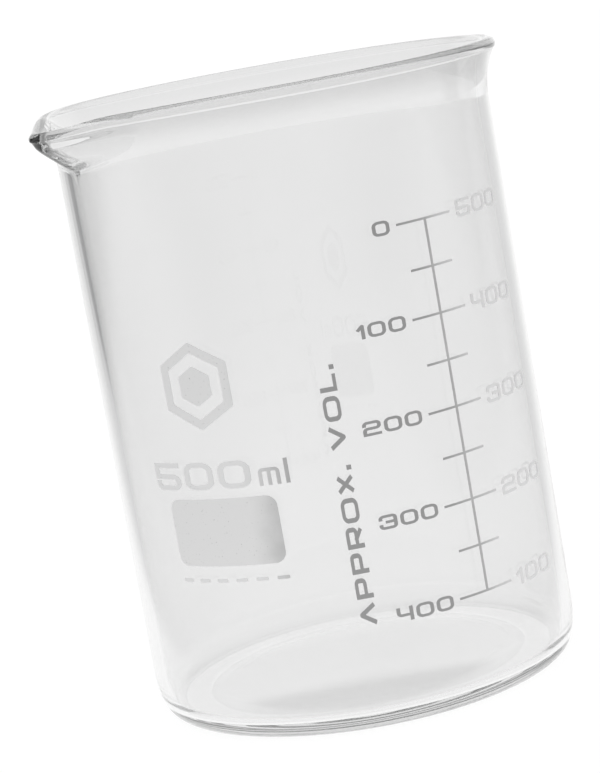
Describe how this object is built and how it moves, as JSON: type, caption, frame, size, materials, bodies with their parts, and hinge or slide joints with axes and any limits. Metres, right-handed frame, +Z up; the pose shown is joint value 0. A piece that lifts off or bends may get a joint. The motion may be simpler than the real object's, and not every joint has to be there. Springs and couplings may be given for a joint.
{
  "type": "laboratory beaker",
  "caption": "Low-form glass laboratory beaker with a flared fire-polished rim, a pouring spout and a white fired-enamel volume scale.",
  "frame": {"origin": "on the vessel's axis, in the plane of the foot it stands on", "axes": "+Z up along the vessel's axis, -X towards the pouring spout, -Y towards the side with the printed legends"},
  "size_m": [0.0987, 0.0936, 0.126],
  "materials": {
    "clear_glass": "clear, fire-polished borosilicate",
    "white_enamel": "satin white fired enamel print"
  },
  "bodies": {
    "root": {"glass_vessel": "clear_glass", "major_line_500_ml": "white_enamel", "major_line_400_ml": "white_enamel", "major_line_300_ml": "white_enamel", "major_line_200_ml": "white_enamel", "major_line_100_ml": "white_enamel", "minor_line_450_ml": "white_enamel", "minor_line_350_ml": "white_enamel", "minor_line_250_ml": "white_enamel", "minor_line_150_ml": "white_enamel", "scale_upright": "white_enamel", "poured_numeral_0": "white_enamel", "poured_numeral_100": "white_enamel", "poured_numeral_200": "white_enamel", "poured_numeral_300": "white_enamel", "poured_numeral_400": "white_enamel", "held_numeral_500": "white_enamel", "held_numeral_400": "white_enamel", "held_numeral_300": "white_enamel", "held_numeral_200": "white_enamel", "held_numeral_100": "white_enamel", "approximate_volume_legend": "white_enamel", "capacity_legend": "white_enamel", "writing_panel": "white_enamel", "hexagon_mark": "white_enamel", "dash_row": "white_enamel"}
  },
  "joints": []
}
